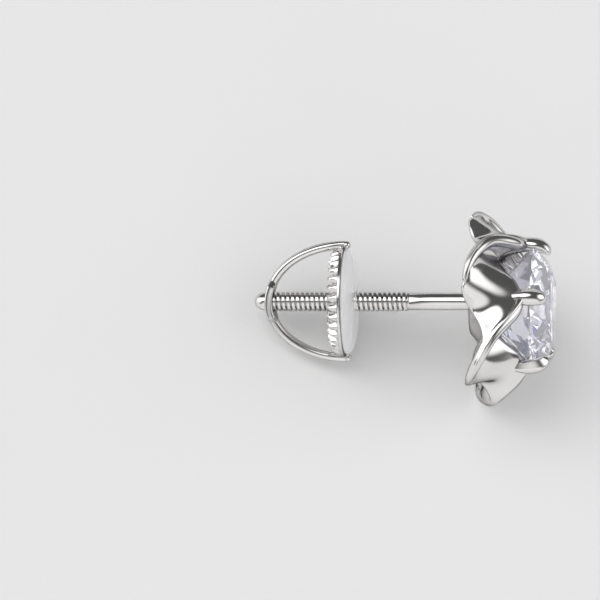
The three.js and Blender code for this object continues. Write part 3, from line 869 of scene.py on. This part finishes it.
stage = {
    "size": 2.4, "floorGrey": 0.86, "floorUneven": 1.015, "floorScale": 60,
    "floorRough": 0.6, "floorShine": 0.1,
    # What the metal, the matt surfaces on top of that, and the camera see of the room.
    "roomGrey": 0.11, "floorLight": 0.5, "cameraGrey": 0.8,
    # Soft lights by where they stand as the camera sees it: right, up, towards it. Then half width in
    # degrees, softness of the edge in degrees, brightness.
    "lights": [
        (-0.3, 0.5, 0.82, 20, 6, 2.3),
        (-0.9, 0.3, 0.4, 27, 8, 2.0),
        (0.9, 0.15, 0.4, 26, 9, 1.5),
        (0.0, -0.8, 0.6, 40, 13, 1.0),
    ],
    # What light that has passed through the stone or the pad meets: patches, each with its own grey.
    "patchScale": 4.2,
    "patchGreys": ((0.0, (0.05, 0.07, 0.2)), (0.2, (0.45, 0.45, 0.52)), (0.42, (1.42, 1.4, 1.44))),
}


def paleFloor():
    material, tree, shader = newMaterial("paleFloor")
    shader.inputs["Roughness"].default_value = stage["floorRough"]
    shader.inputs["Specular IOR Level"].default_value = stage["floorShine"]
    grey = stage["floorGrey"]
    mottled = blendOf(tree, grain(tree, stage["floorScale"]), (grey,) * 3, (grey * stage["floorUneven"],) * 3)
    tree.links.new(mottled, shader.inputs["Base Color"])
    return material


def floor():
    reach = stage["size"] / 2
    corners = [(-reach, -reach, 0), (reach, -reach, 0), (reach, reach, 0), (-reach, reach, 0)]
    made = meshObject("floor", corners, [(0, 1, 2, 3)], paleFloor())


def studioWorld(right, up, back):  # a grey room with soft lights, and patches for the stone and the pad
    world = bpy.data.worlds.new("studio")
    world.use_nodes = True
    tree = world.node_tree
    tree.nodes.clear()
    place = tree.nodes.new("ShaderNodeTexCoord")
    total = stage["roomGrey"]
    for across, high, near, width, edge, bright in stage["lights"]:
        aim = tree.nodes.new("ShaderNodeVectorMath")
        aim.operation = "DOT_PRODUCT"
        aim.inputs[1].default_value = (right * across + up * high + back * near).normalized()
        tree.links.new(place.outputs["Generated"], aim.inputs[0])
        glow = smoothStep(tree, aim.outputs["Value"], math.cos(math.radians(width + edge)),
                          math.cos(math.radians(width - edge)))
        total = maths(tree, "ADD", maths(tree, "MULTIPLY", glow, bright), total)
    path = tree.nodes.new("ShaderNodeLightPath")
    matt = maths(tree, "MULTIPLY", path.outputs["Is Diffuse Ray"], stage["floorLight"])
    lit = tree.nodes.new("ShaderNodeBackground")
    tree.links.new(maths(tree, "ADD", total, matt), lit.inputs["Strength"])
    cells = tree.nodes.new("ShaderNodeTexVoronoi")
    cells.inputs["Scale"].default_value = stage["patchScale"]
    tree.links.new(place.outputs["Generated"], cells.inputs["Vector"])
    ramp = tree.nodes.new("ShaderNodeValToRGB")
    ramp.color_ramp.interpolation = "CONSTANT"
    ramp.color_ramp.elements.remove(ramp.color_ramp.elements[1])
    for k, (start, grey) in enumerate(stage["patchGreys"]):
        step = ramp.color_ramp.elements.new(start) if k else ramp.color_ramp.elements[0]
        step.color = (*grey, 1)
    tree.links.new(cells.outputs["Color"], ramp.inputs["Fac"])
    patches = tree.nodes.new("ShaderNodeBackground")
    tree.links.new(ramp.outputs["Color"], patches.inputs["Color"])
    seen = tree.nodes.new("ShaderNodeBackground")
    seen.inputs["Color"].default_value = (stage["cameraGrey"],) * 3 + (1,)
    through = tree.nodes.new("ShaderNodeMixShader")
    tree.links.new(path.outputs["Is Transmission Ray"], through.inputs[0])
    tree.links.new(lit.outputs[0], through.inputs[1])
    tree.links.new(patches.outputs[0], through.inputs[2])
    chosen = tree.nodes.new("ShaderNodeMixShader")
    tree.links.new(path.outputs["Is Camera Ray"], chosen.inputs[0])
    tree.links.new(through.outputs[0], chosen.inputs[1])
    tree.links.new(seen.outputs[0], chosen.inputs[2])
    out = tree.nodes.new("ShaderNodeOutputWorld")
    tree.links.new(chosen.outputs[0], out.inputs["Surface"])
    bpy.context.scene.world = world


view = {
    "side": 6.5, "roll": -7.2, "across": -8.385, "up": 0.072, "distance": 400.0,
    "lens": 468.0, "sensor": 36.0, "near": 0.01, "far": 10.0,
}


def camera():
    side, roll = math.radians(view["side"]), Matrix.Rotation(math.radians(view["roll"]), 3, "Z")
    right = roll @ Vector((math.sin(side), 0, math.cos(side)))
    up = roll @ Vector((0, 1, 0))
    back = roll @ Vector((-math.cos(side), 0, math.sin(side)))
    eye = right * view["across"] + up * view["up"] + back * view["distance"]
    lens = bpy.data.cameras.new("camera")
    lens.sensor_width = view["sensor"]
    lens.lens = view["lens"]
    lens.clip_start = view["near"]
    lens.clip_end = view["far"]
    made = placed("camera", lens)
    axes = Matrix((lyingTurn @ right, lyingTurn @ up, lyingTurn @ back)).transposed()
    made.matrix_world = Matrix.Translation(toFloor @ eye) @ axes.to_4x4()
    bpy.context.scene.camera = made
    return lyingTurn @ right, lyingTurn @ up, lyingTurn @ back


floor()
right, up, back = camera()
studioWorld(right, up, back)
bpy.context.scene.view_settings.view_transform = "Standard"
print("stage made", [round(c, 3) for c in back])
